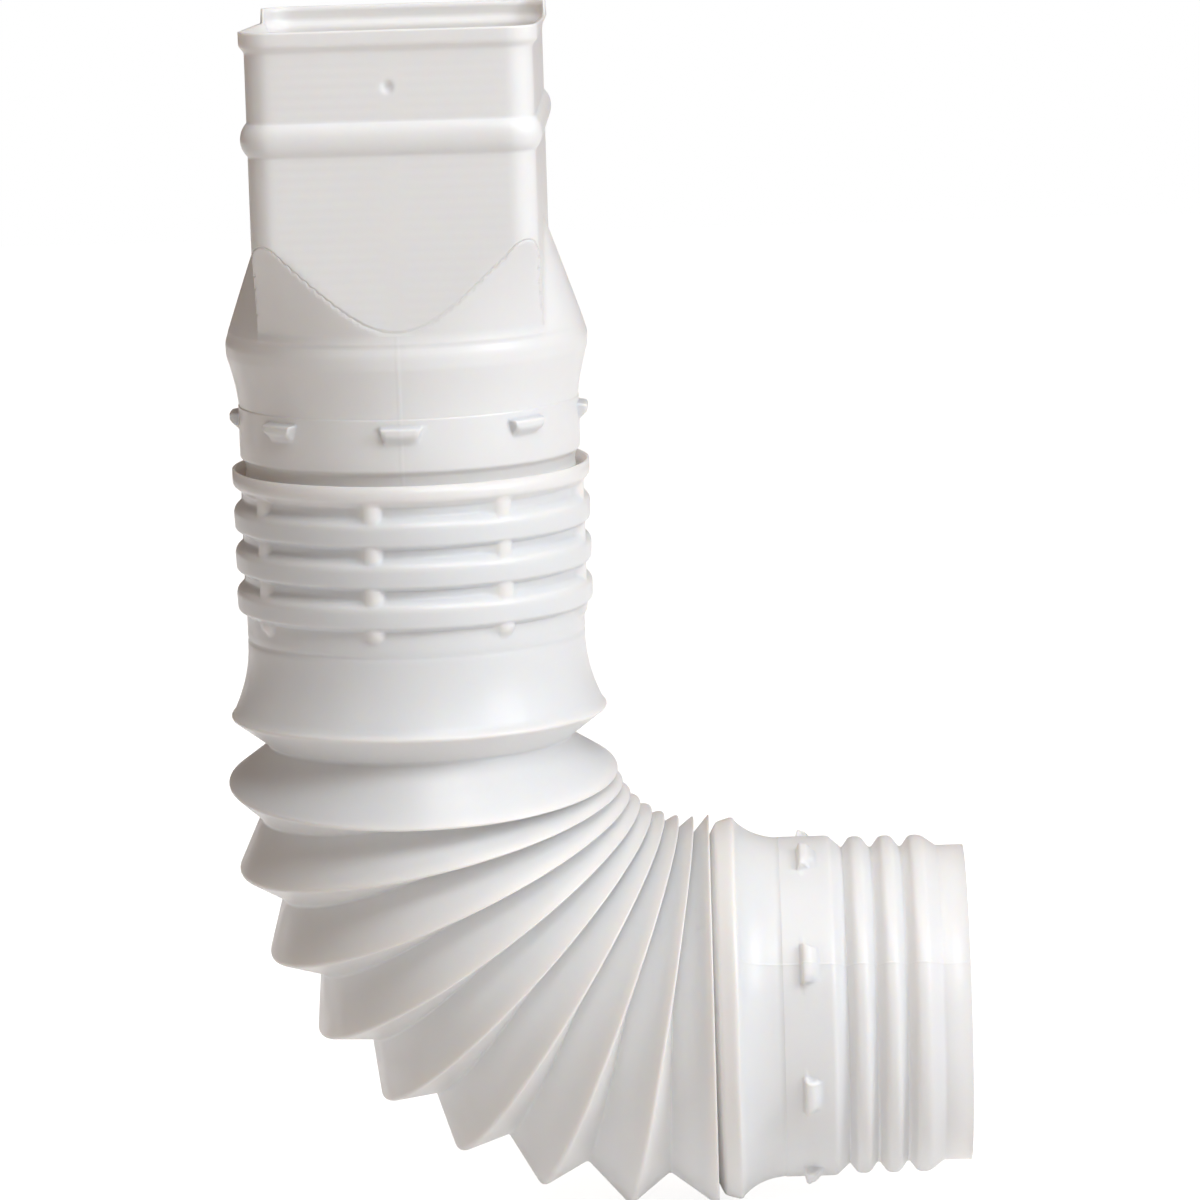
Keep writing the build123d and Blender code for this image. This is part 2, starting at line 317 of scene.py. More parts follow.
class AdapterSizes(bpy.types.PropertyGroup):
    """Sizes of the socket piece."""
    socket_width: metres("Socket width", "Outer width of the socket's front", 0.0868, 0.02)
    socket_depth: metres("Socket depth", "Outer depth of the socket, front to back", 0.1092, 0.02)
    corner_radius: metres("Corner radius", "Outer radius of the socket's corners", 0.008, 0.002)
    lip_rise: metres("Lip rise", "How far the lip stands out of the walls", 0.0016)
    column_step: FloatProperty(
        name="Column step", description="Widest step between two columns of the grid, in degrees",
        default=2.2, min=0.5, max=10.0)


class ElbowSizes(bpy.types.PropertyGroup):
    """Sizes of the flexible elbow."""
    crest_radius: metres("Crest radius", "Radius of the bellows' crests", 0.0613, 0.02)
    open_pitch: metres(
        "Open pitch", "Distance of two crests along the open side of the bend", 0.02851, 0.006)
    crest_rounding: metres(
        "Crest rounding", "Length of each flank that the rounding of a crest takes", 0.0013)
    valley_rounding: metres(
        "Valley rounding", "Length of each flank that the rounding of a valley takes", 0.0011)
    column_step: FloatProperty(
        name="Column step", description="Widest step between two columns of the grid, in degrees",
        default=3.4, min=0.5, max=10.0)


class PlasticLook(bpy.types.PropertyGroup):
    """Colours and finish of the white plastic."""
    colour: tone("Colour", "Base colour of the plastic", (0.86, 0.852, 0.843))
    warm_colour: tone("Warm colour", "Colour of its slightly thicker, warmer patches", (0.84, 0.828, 0.814))
    roughness: FloatProperty(
        name="Roughness", description="Roughness of the moulded skin",
        default=0.36, min=0.0, max=1.0, subtype="FACTOR")
    translucency: FloatProperty(
        name="Translucency", description="Share of the light that goes on below the skin",
        default=0.5, min=0.0, max=1.0, subtype="FACTOR")
    arch_line: metres(
        "Arch line", "Depth in from the arch's edge of the line that runs along it", 0.0003, 0.00005)


class StudioLook(bpy.types.PropertyGroup):
    """Light of the studio: a large key at the right, softboxes in front and overhead, and a warm room."""
    key_power: FloatProperty(
        name="Key lamp", description="Power of the large lamp at the right",
        default=10.1, min=0.0, unit="POWER")
    key_colour: tone("Key colour", "Colour of the large lamp", (0.95, 0.965, 1.0))
    front_power: FloatProperty(
        name="Front lamp", description="Power of the lamp above the camera",
        default=7.8, min=0.0, unit="POWER")
    top_power: FloatProperty(
        name="Top lamp", description="Power of the lamp overhead",
        default=5.0, min=0.0, unit="POWER")
    room_light: FloatProperty(
        name="Room light", description="Strength of the even light of the room",
        default=0.225, min=0.0)
    room_colour: tone("Room colour", "Colour of the even light of the room", (1.0, 0.79, 0.66))


def smooth_max(a, b, reach):
    """The larger of a and b; where they differ by less than reach, a parabola blends them, from above."""
    near = np.maximum(reach - np.abs(a - b), 0.0) / reach
    return np.maximum(a, b) + near * near * reach / 4


def smooth_min(a, b, reach):
    """The smaller of a and b, blended from below where they differ by less than reach."""
    return -smooth_max(-a, -b, reach)


def ramp(distance, length):
    """Grows evenly from 0 to 1 over a length, and stays there."""
    return np.clip(distance / length, 0.0, 1.0)


def off_middle(angles, azimuth, pitch):
    """Angle from the nearest of the places at the azimuth and every pitch from it, in radians: what is
    left of the angle after whole pitches, between minus and plus half a pitch."""
    return np.mod(angles - np.radians(azimuth) + pitch / 2, pitch) - pitch / 2


def beside(azimuth, count, offsets):
    """Degrees at the offsets to both sides of evenly spaced places, the first of them at the azimuth."""
    places = azimuth + 360.0 / count * np.arange(count)[:, None]
    return np.concatenate([places + np.array(offsets), places - np.array(offsets)]).ravel()


def columns(marks, step):
    """Azimuths of a grid's columns: the marks, with even steps of at most step between neighbours."""
    marks = np.unique(np.round(np.mod(marks, 360.0), 6))
    spans = np.diff(np.append(marks, marks[0] + 360.0))
    runs = [start + span * np.arange(ceil(span / step)) / ceil(span / step)
            for start, span in zip(marks, spans)]
    return np.radians(np.concatenate(runs))


def rounded(corners, lengths, steps):
    """Rows of a profile whose corners are rounded, each by as many rows as steps says.

    corners is an array of K corners, each a point or a whole ring of points. A corner P with rounding
    length d becomes the parabola from P - d along the flank before to P + d along the flank after, with P
    as its control point: (1-t)^2 A + 2t(1-t) P + t^2 B. A length of 0 keeps the corner as one row, and no
    rounding takes more than its largest share of a flank.
    """
    rows = []
    for k, corner in enumerate(corners):
        length = lengths[k]
        if length == 0 or k in (0, len(corners) - 1):
            rows.append(corner)
            continue
        before, after = corners[k - 1] - corner, corners[k + 1] - corner
        size_before = np.linalg.norm(before, axis=-1, keepdims=True)
        size_after = np.linalg.norm(after, axis=-1, keepdims=True)
        start = corner + before * np.minimum(length / size_before, LARGEST_ROUNDING)
        end = corner + after * np.minimum(length / size_after, LARGEST_ROUNDING)
        for t in np.linspace(0.0, 1.0, steps):
            rows.append((1 - t) ** 2 * start + 2 * t * (1 - t) * corner + t ** 2 * end)
    return np.array(rows)


def filled(rows, step):
    """Rows of a profile of (radius, height), with rows added evenly where two are more than step apart."""
    parts = []
    for start, end in zip(rows[:-1], rows[1:]):
        count = max(1, ceil(np.linalg.norm(end - start) / step))
        parts.append(start + (end - start) * np.arange(count)[:, None] / count)
    return np.concatenate(parts + [rows[-1:]])


def bend(start, corner, end, count):
    """Points of (radius, height) on the parabola that leaves start towards the corner and reaches end from
    it: (1-t)^2 start + 2t(1-t) corner + t^2 end."""
    t = np.linspace(0.0, 1.0, count)[:, None]
    return (1 - t) ** 2 * np.array(start) + 2 * t * (1 - t) * np.array(corner) + t ** 2 * np.array(end)


def rectangle_radius(angles, half_width, half_depth, corner):
    """Distance from the axis to a rounded rectangle, in each direction.

    On a flat wall it is the wall's distance over the cosine to its normal; on a corner it is the far
    crossing with the corner's circle.
    """
    c, s = np.abs(np.cos(angles)), np.abs(np.sin(angles))
    side = half_width / np.maximum(c, TINY)
    front = half_depth / np.maximum(s, TINY)
    centre_x, centre_y = half_width - corner, half_depth - corner
    along = c * centre_x + s * centre_y
    across = c * centre_y - s * centre_x
    arc = along + np.sqrt(np.maximum(corner ** 2 - across ** 2, 0.0))
    flat_side = side * s <= centre_y
    flat_front = front * c <= centre_x
    return np.where(flat_side, side, np.where(flat_front, front, arc))


def lug_radius(angles, heights, top, band, azimuth):
    """Radius of the lugs of a band, far inside the band between them.

    A lug is the least of its crest and four flanks: two sides that close in downwards, a steep upper one
    and a long ramp below. Each flank is straight from the root, a little inside the band, to the crest.
    """
    pitch = 2 * np.pi / LUG_COUNT
    across = np.abs(off_middle(angles, azimuth, pitch)) * band
    below = top - heights
    crest_top = LUG_CREST_DROP - LUG_CREST_LENGTH / 2
    crest_end = LUG_CREST_DROP + LUG_CREST_LENGTH / 2
    full = LUG_ROOT + LUG_RISE
    side = full * (LUG_WIDTH / 2 - LUG_TAPER * below - across) / ((LUG_WIDTH - LUG_CREST_WIDTH) / 2)
    upper = full * below / crest_top
    lower = full * (LUG_LENGTH - below) / (LUG_LENGTH - crest_end)
    upper_side = smooth_min(side, upper, LUG_ROUNDING)
    lower_crest = smooth_min(lower, full, LUG_ROUNDING)
    rise = smooth_min(upper_side, lower_crest, LUG_ROUNDING)
    return band - LUG_ROOT + np.maximum(rise, -LUG_FLOOR)


def cuff(start, band, rib, root):
    """Corners of a spigot from its band's end to its plain end, as (radius, height); root is the radius
    between the band and the first rib."""
    plain = rib - RIB_HEIGHT
    points = [
        (band, -start - BAND_LENGTH + BAND_EDGE),
        (band - BAND_EDGE, -start - BAND_LENGTH),
    ]
    for number in range(RIB_COUNT):
        middle = -start - FIRST_RIB - number * RIB_PITCH
        foot = LAST_RIB_RAMP if number == RIB_COUNT - 1 else RIB_BASE / 2
        points += [
            (plain if number else root, middle + RIB_BASE / 2),
            (rib, middle + RIB_CREST / 2),
            (rib, middle - RIB_CREST / 2),
            (plain, middle - foot),
        ]
    points.append((plain, -start - SPIGOT_LENGTH))
    return points


def spread(rows, inset, angles):
    """Radii and heights of a round profile's rows in every column, moved in by inset."""
    return rows[:, :1] - inset + 0 * angles, rows[:, 1:] + 0 * angles


def parting_seam(angles, azimuth, radius, rise, half_width):
    """Height of two seams, at the azimuth and opposite it, which falls evenly to both sides."""
    return rise * ramp(half_width - np.abs(off_middle(angles, azimuth, np.pi)) * radius, half_width)


def ring_points(axes, origin, radii, angles, heights):
    """Points at a radius, azimuth and height about a frame whose axes are the columns of axes."""
    local = np.stack([radii * np.cos(angles), radii * np.sin(angles), heights + 0 * angles], axis=-1)
    return origin + local @ axes.T


def closed_skin(name, rows):
    """A mesh from rows of points that run round the object: each row closes on itself, and the last row
    joins the first. Faces are turned to point outwards by the sign of the enclosed volume."""
    count, width = rows.shape[:2]
    points = rows.reshape(-1, 3)
    index = np.arange(count * width).reshape(count, width)
    below = np.roll(index, -1, axis=0)
    quads = np.stack([index, np.roll(index, -1, axis=1), np.roll(below, -1, axis=1), below], axis=-1)
    quads = quads.reshape(-1, 4)
    corners = points[quads]
    first = np.cross(corners[:, 1] - corners[:, 0], corners[:, 2] - corners[:, 0])
    second = np.cross(corners[:, 2] - corners[:, 0], corners[:, 3] - corners[:, 0])
    volume = np.sum(corners[:, 0] * (first + second))
    if volume < 0:
        quads = quads[:, ::-1]
    mesh = bpy.data.meshes.new(name)
    mesh.from_pydata(points, [], quads)
    mesh.shade_smooth()
    mesh.validate()
    made = bpy.data.objects.new(name, mesh)
    bpy.context.scene.collection.objects.link(made)
    return made


def adapter_columns(sizes):
    """Columns of the socket piece: close on the corners, the lugs' edges, the dimple and the seams."""
    half_width, half_depth = sizes.socket_width / 2, sizes.socket_depth / 2
    corner_start = np.degrees(np.arctan2(half_depth - sizes.corner_radius, half_width))
    corner_end = np.degrees(np.arctan2(half_depth, half_width - sizes.corner_radius))
    corner = np.linspace(corner_start - CORNER_MARGIN, corner_end + CORNER_MARGIN, CORNER_COLUMNS)
    corners = np.concatenate([corner, 180 - corner, 180 + corner, 360 - corner])
    lugs = beside(0.0, LUG_COUNT, LUG_COLUMNS)
    dimple = beside(FRONT_AZIMUTH, 1, np.degrees(DIMPLE_RADIUS / half_depth) * np.array(DIMPLE_COLUMNS))
    seam = beside(BACK_SEAM_AZIMUTH, 1, SEAM_COLUMNS)
    return columns(np.concatenate([corners, lugs, dimple, seam]), sizes.column_step)


def socket_profile(lip_rise, corner_steps, step):
    """Rows (growth, height) of the socket: growth is how far the walls stand outside their plain size. The
    bead is an arc of a circle whose radius is (span^2 + rise^2) / (2 rise)."""
    span = BEAD_HEIGHT / 2
    bead_circle = (span ** 2 + BEAD_RISE ** 2) / (2 * BEAD_RISE)
    across = np.linspace(-span, span, BEAD_ROWS)
    bead = np.stack([
        np.sqrt(bead_circle ** 2 - across ** 2) - bead_circle + BEAD_RISE,
        -BEAD_STATION - across,
    ], axis=-1)
    lip = np.array([(lip_rise, 0.0), (lip_rise, -LIP_FACE), (0.0, -LIP_HEIGHT), (0.0, -0.5 * BEAD_STATION)])
    rows = rounded(lip, [0, LIP_CORNER, LIP_CORNER, 0], corner_steps)
    rows = np.concatenate([rows, bead, [(0.0, -TRANSITION_TOP)]])
    return filled(rows, step)


def arch_curve(half_depth, inset):
    """The cone that cuts the corners, as the three factors of a parabola of the height: it meets the front
    wall at the transition's end."""
    return np.polyfit(
        [-TRANSITION_TOP, -CUT_MIDDLE, -TRANSITION_END],
        [CUT_TOP_RADIUS - inset, CUT_MIDDLE_RADIUS - inset, half_depth - inset], 2)


def adapter_radii(angles, growth, heights, sizes, inset):
    """Radius of the socket and of its transition to the round, moved in by inset.

    The socket is the rounded rectangle. Below it the corners are cut by a flared cone, so the radius is
    the smaller of the two, and the shoulder that grows out of the side walls is joined as the larger.
    Cone and shoulder are parabolas of the height through three radii each.
    """
    half_width = sizes.socket_width / 2 + growth - inset
    half_depth = sizes.socket_depth / 2 + growth - inset
    corner = sizes.corner_radius + growth - inset
    radii = rectangle_radius(angles, half_width, half_depth, corner)
    cut_curve = arch_curve(sizes.socket_depth / 2, inset)
    shoulder_curve = np.polyfit(
        [-TRANSITION_TOP, -SHOULDER_MIDDLE, -CREASE_STATION],
        [sizes.socket_width / 2 - inset, SHOULDER_MIDDLE_RADIUS - inset, SHOULDER_RADIUS - inset], 2)
    low = np.maximum(heights, -TRANSITION_END)
    cut = np.where(heights < -TRANSITION_TOP, np.polyval(cut_curve, low), 1.0)
    shoulder = np.where(heights < -TRANSITION_TOP, np.polyval(shoulder_curve, heights), 0.0)
    return smooth_max(smooth_min(radii, cut, ARCH_BLEND), shoulder, SHOULDER_BLEND)


def front_marks(angles, heights, radii, half_depth):
    """Depth of the marks on the walls: the screw dimple, a bowl (1 - away^2)^1.5 on the front, and the fine
    level grooves, the root of a rectified sine along the height, which stop at the corners, at a middle
    stripe, at the bead and at the lip."""
    x = radii * np.cos(angles)
    y = radii * np.sin(angles)
    away = np.hypot(x - DIMPLE_X, heights + DIMPLE_STATION) / DIMPLE_RADIUS
    dimple = DIMPLE_DEPTH * np.clip(1 - away ** 2, 0.0, 1.0) ** 1.5 * (y < 0)
    wave = np.abs(np.sin(np.pi * (heights + GROOVE_TOP) / GROOVE_PITCH)) ** 0.5 - 1.0
    on_front = ramp(GROOVE_REACH - np.abs(x), GROOVE_REACH_FADE)
    off_stripe = ramp(np.abs(x) - GROOVE_STRIPE, GROOVE_STRIPE_FADE)
    off_bead = ramp(np.abs(heights + BEAD_STATION) - BEAD_HEIGHT / 2, GROOVE_END_FADE)
    off_lip = ramp(-heights - GROOVE_TOP, GROOVE_END_FADE)
    flat = ramp(np.abs(y) - half_depth + FRONT_BAND, FRONT_BAND / 2)
    return dimple - wave * GROOVE_DEPTH * on_front * off_stripe * off_bead * off_lip * flat


def rim_drop(angles, sizes):
    """How far the trimmed rim lies below the mouth: nothing at the front corners, growing evenly along both
    side walls, and back to nothing at the back corners by the smooth step e^2 (3 - 2e)."""
    run = sizes.socket_depth / 2 - sizes.corner_radius
    y = rectangle_radius(angles, sizes.socket_width / 2, sizes.socket_depth / 2, sizes.corner_radius)
    y = y * np.sin(angles)
    along = ramp(y + run, 2 * run)
    ends = ramp(run + SCOOP_END - y, 2 * SCOOP_END)
    return SCOOP_DEPTH * along * ends * ends * (3 - 2 * ends)


def adapter_rows(sizes, inset, step, corner_steps):
    """Rows of points of one skin of the socket piece, from the rim down to the spigot's end. The skin lies
    inset inside the outer one."""
    angles = adapter_columns(sizes)
    socket = socket_profile(sizes.lip_rise, corner_steps, step)
    transition_rows = ceil((CREASE_STATION - TRANSITION_TOP) / step)
    transition = np.linspace(-TRANSITION_TOP, -CREASE_STATION, transition_rows)[1:]
    transition = np.stack([0 * transition, transition], axis=-1)
    squared = np.concatenate([socket, transition])
    growth, heights = squared[:, :1], squared[:, 1:] + 0 * angles
    heights = heights - rim_drop(angles, sizes) * ramp(SCOOP_FADE + heights, SCOOP_FADE)
    growth = np.interp(-heights.ravel(), -socket[:, 1], socket[:, 0], right=0.0).reshape(heights.shape)
    radii = adapter_radii(angles, growth, heights, sizes, inset)
    if inset == 0:
        radii = radii - front_marks(angles, heights, radii, sizes.socket_depth / 2)

    neck = bend((RING_END_RADIUS, -RING_END), (NECK_RADIUS + NECK_BEND_RISE, -NECK_BEND),
                (NECK_RADIUS, -BAND_STATION), NECK_ROWS)
    corners = np.array([
        (SHOULDER_RADIUS, -CREASE_STATION - CREASE_GAP),
        (RING_RADIUS, -RING_STATION),
        *neck[:-1],
        (NECK_RADIUS, -BAND_STATION + BAND_STEP_RUN),
        (BAND_RADIUS, -BAND_STATION - BAND_STEP_RUN),
        (BAND_RADIUS, -BAND_STATION - LUG_ZONE),
        *cuff(BAND_STATION, BAND_RADIUS, RIB_RADIUS, RIB_RADIUS - MOUTH_ROOT_DROP),
    ])
    lengths = [0.0, RING_CORNER, RING_END_CORNER] + [0.0] * (NECK_ROWS - 2) + [BAND_STEP_CORNER] * 2 + [0.0]
    lengths += [BAND_EDGE_CORNER] * 2 + list(RIB_CORNERS) * RIB_COUNT + [0.0]
    rows = rounded(corners, lengths, ROUND_CORNER_ROWS)
    lug_rows = (rows[:, 1] <= -BAND_STATION) & (rows[:, 1] > -BAND_STATION - LUG_ZONE - TOUCH)
    first, last = np.flatnonzero(lug_rows)[[0, -1]]
    rows = np.concatenate([
        filled(rows[:first + 1], 2 * step),
        filled(rows[first:last + 1], min(step, LUG_ROW_STEP))[1:],
        rows[last + 1:],
    ])
    round_radii, round_heights = spread(rows, inset, angles)
    lugs = lug_radius(angles, round_heights, -BAND_STATION - LUG_TOP, BAND_RADIUS, FIRST_LUG_AZIMUTH)
    round_radii = smooth_max(round_radii, lugs - inset, LUG_BLEND)
    radii = np.concatenate([radii, round_radii])
    heights = np.concatenate([heights, round_heights])
    if inset == 0:
        seam = parting_seam(angles, BACK_SEAM_AZIMUTH, BAND_RADIUS, SEAM_RISE, SEAM_HALF_WIDTH)
        radii = radii + seam * (heights < -TRANSITION_END)
    return ring_points(np.eye(3), np.zeros(3), radii, angles, heights)


def turn_about(azimuth, turn):
    """Rotation that lifts the side at the azimuth, a turn about the level axis across it by Rodrigues'
    formula: I + sin(t) K + (1 - cos(t)) K^2."""
    c, s = np.cos(np.radians(azimuth)), np.sin(np.radians(azimuth))
    k = np.array([[0, 0, c], [0, 0, s], [-c, -s, 0]])
    t = np.radians(-turn)
    return np.eye(3) + np.sin(t) * k + (1 - np.cos(t)) * k @ k


def folds(sizes):
    """Turn, closing azimuth, step down and shift of each fold, from the bell to the outlet.

    The turn is what tips two crests from the open pitch on one side to the closed one on the other:
    2 asin((open - closed) / 4R).
    """
    bend_pitches = [(CLOSED_PITCH, sizes.open_pitch)] * BEND_FOLD_COUNT
    pitches = [FIRST_PITCHES] + bend_pitches + [(LAST_FOLD_PITCH, LAST_FOLD_PITCH)]
    azimuths = [FIRST_CLOSING, SECOND_CLOSING] + [BEND_CLOSING] * BEND_FOLD_COUNT
    shifts = [0.0] + [FOLD_SHIFT] * BEND_FOLD_COUNT + [0.0]
    return [
        (2 * np.degrees(np.arcsin((opened - closed) / (4 * sizes.crest_radius))), azimuth,
         (closed + opened) / 2, shift)
        for (closed, opened), azimuth, shift in zip(pitches, azimuths, shifts)
    ]


def crest_frames(sizes):
    """Axes and origin of each crest: half the fold's turn, a step down along the axis, the other half."""
    frames = [(np.eye(3), np.array([0.0, 0.0, -BELL_TOP - CREST_ZERO_DEPTH]))]
    for turn, closing, advance, shift in folds(sizes):
        axes, origin = frames[-1]
        half = turn_about(closing, turn / 2)
        side = np.radians(closing)
        axes = axes @ half
        origin = origin + axes @ np.array([shift * np.cos(side), shift * np.sin(side), -advance])
        frames.append((axes @ half, origin))
    return frames


def rim_point(circle, closing, sign):
    """A point of a circle (axes, origin, radius), at the azimuth for sign 1 and opposite for sign -1."""
    axes, origin, radius = circle
    side = np.radians(closing)
    return origin + axes @ (sign * radius * np.array([np.cos(side), np.sin(side), 0.0]))


def circle_across(closed, opened, axes):
    """The circle that spans two opposite points, with the x direction of axes carried on to it."""
    across = closed - opened
    normal = np.cross(np.cross(across, axes[:, 2]), across)
    normal = normal / np.linalg.norm(normal)
    x = axes[:, 0] - normal * np.dot(axes[:, 0], normal)
    x = x / np.linalg.norm(x)
    axes = np.stack([x, np.cross(normal, x), normal], axis=-1)
    return axes, (closed + opened) / 2, np.linalg.norm(across) / 2


def valley_point(upper, lower, centre, short, long):
    """The corner of two flanks of fixed length between two crest points, on the side of the centre: it
    stands (long^2 - short^2 + base^2) / 2 base along their base, by the law of cosines."""
    base = upper - lower
    length = np.linalg.norm(base)
    base = base / length
    along = (long ** 2 - short ** 2 + length ** 2) / (2 * length)
    inward = centre - lower
    inward = inward - base * np.dot(inward, base)
    return lower + base * along + inward / np.linalg.norm(inward) * np.sqrt(long ** 2 - along ** 2)


def bellows_circles(sizes):
    """Circle and closing azimuth of each crest and each valley of the outer skin, in turn. The first valley
    lies level below the first crest."""
    radii = [CREST_ZERO_RADIUS] + [sizes.crest_radius] * (BEND_FOLD_COUNT + 1) + [LAST_CREST_RADIUS]
    spared, difference = sizes.open_pitch + OPEN_SPARE, CLOSED_PITCH - CLOSED_SPARE
    plain_flanks = (spared - difference) / 2, (spared + difference) / 2
    crests = [(axes, origin, radius) for (axes, origin), radius in zip(crest_frames(sizes), radii)]
    circles = []
    for number, (_, closing, _, _) in enumerate(folds(sizes)):
        nested = number == len(crests) - 2
        short, long = (NESTED_SHORT_FLANK, NESTED_LONG_FLANK) if nested else plain_flanks
        upper, lower = crests[number], crests[number + 1]
        centre = (upper[1] + lower[1]) / 2
        ends = [valley_point(rim_point(upper, closing, sign), rim_point(lower, closing, sign),
                             centre, short, long) for sign in (1, -1)]
        valley = circle_across(*ends, upper[0])
        if number == 0:
            valley = upper[0], upper[1] - upper[0][:, 2] * FIRST_VALLEY_DEPTH, FIRST_VALLEY_RADIUS
        circles.append((upper, closing))
        circles.append((valley, closing))
    circles.append((crests[-1], BEND_CLOSING))
    return circles


def inner_circle(circles, number):
    """The inner skin's circle at a crest or valley: each of two opposite corners moves along the bisector
    of its flanks until the wall is met, by the wall over the sine of half their angle."""
    (axes, origin, radius), closing = circles[number]
    if number in (0, len(circles) - 1):
        return axes, origin, radius - ELBOW_WALL
    towards_axis = 1 if number % 2 == 0 else -1
    ends = []
    for sign, wall in ((1, CLOSED_WALL), (-1, ELBOW_WALL)):
        near = circles[number - 1:number + 2]
        above, corner, below = [rim_point(circle, closing, sign) for circle, _ in near]
        first = (above - corner) / np.linalg.norm(above - corner)
        second = (below - corner) / np.linalg.norm(below - corner)
        bisector = (first + second) / np.linalg.norm(first + second)
        ends.append(corner + bisector * towards_axis * wall / np.linalg.norm(np.cross(first, bisector)))
    return circle_across(*ends, axes)


def elbow_columns(sizes):
    """Columns of the elbow: close on the nubs of the bell, the lugs of the outlet and the seams."""
    lugs = beside(OUTLET_LUG_AZIMUTH, LUG_COUNT, OUTLET_LUG_COLUMNS)
    nubs = beside(NUB_AZIMUTH, NUB_COUNT, NUB_COLUMNS)
    seams = beside(OUTLET_LUG_AZIMUTH, 2, OUTLET_SEAM_COLUMNS)
    return columns(np.concatenate([lugs, nubs, seams]), sizes.column_step)


def bell_rows(angles, inset, steps):
    """Rows of points of the bell, from its mouth, where heights are 0, to just above the first crest.

    A nub is a half-round bar down the wall, wall + rise - r + sqrt(r^2 - away^2), with a ball for its end.
    """
    wall = BELL_WALL_RADIUS
    lip = BELL_LIP_RADIUS
    corners = [(lip, -BELL_LIP_START), (lip, -BELL_LIP_FACE), (wall, -BELL_LIP_HEIGHT)]
    lengths = [0.0, *BELL_LIP_CORNERS]
    for number in range(BELL_RING_COUNT):
        middle = -FIRST_BELL_RING - number * BELL_RING_PITCH
        corners += [(wall + rise, middle + height) for rise, height, _ in BELL_RING]
        lengths += [corner for _, _, corner in BELL_RING]
    corners += [(wall, -NUB_END - NUB_ROWS_END)]
    rows = rounded(np.array(corners), lengths + [0.0], steps)
    first_crest = (CREST_ZERO_RADIUS, -CREST_ZERO_DEPTH)
    flare = bend((wall, -FLARE_START), (wall, -FLARE_BEND), first_crest, FLARE_ROWS)
    half = NOTCH_HALF_WIDTH
    notch = [(wall, -NOTCH + half), (wall - NOTCH_DEPTH, -NOTCH), (wall, -NOTCH - half)]
    nub_rows = filled(rows[-2:], NUB_ROW_STEP if inset == 0 else INNER_NUB_ROW_STEP)
    radii, heights = spread(np.concatenate([rows[:-2], nub_rows, notch, flare[:-1]]), inset, angles)
    if inset == 0:
        turned = off_middle(angles, NUB_AZIMUTH, 2 * np.pi / NUB_COUNT)
        past_end = np.maximum(-NUB_END + NUB_RADIUS - heights, 0.0)
        reach = np.hypot(turned * wall, past_end)
        nub = wall + NUB_RISE - NUB_RADIUS + np.sqrt(np.maximum(NUB_RADIUS ** 2 - reach ** 2, 0.0))
        radii = smooth_max(radii, np.where(heights < -BELL_LIP_FACE, nub, 0.0), NUB_BLEND)
    return ring_points(np.eye(3), np.array([0.0, 0.0, -BELL_TOP]), radii, angles, heights)


def bellows_corners(angles, sizes, inner):
    """The bellows' corners from the first crest to the last, a ring of points each, and the length of each
    flank that its rounding takes.

    A flank is straight from crest to valley at every azimuth. On the outer skin a crest is crowned by
    (1 - cos(azimuth - closing azimuth)) / 2 of its crown on the open side.
    """
    circles = bellows_circles(sizes)
    crest_lengths = [sizes.crest_rounding + LATE_CREST_EXTRA * (number >= LATE_CREST)
                     for number in range(len(OPEN_CROWNS))]
    lengths = [sizes.valley_rounding] * len(circles)
    lengths[::2] = crest_lengths
    if inner:
        rings = [inner_circle(circles, number) for number in range(len(circles))]
    else:
        rings = []
        for number, ((axes, origin, radius), closing) in enumerate(circles):
            opened = (1 - np.cos(angles - np.radians(closing))) / 2
            if number % 2 == 0:
                radius = radius + CREST_CROWN + OPEN_CROWNS[number // 2] * opened
            rings.append((axes, origin, radius))
        axes, origin, radius = rings[-1]
        rings.insert(-1, (axes, origin + axes[:, 2] * LAST_RIM_WIDTH, radius - LAST_RIM_DROP))
        lengths.insert(-1, LAST_RIM_CORNER)
    corners = np.array([ring_points(axes, origin, radius, angles, 0.0) for axes, origin, radius in rings])
    return corners, lengths


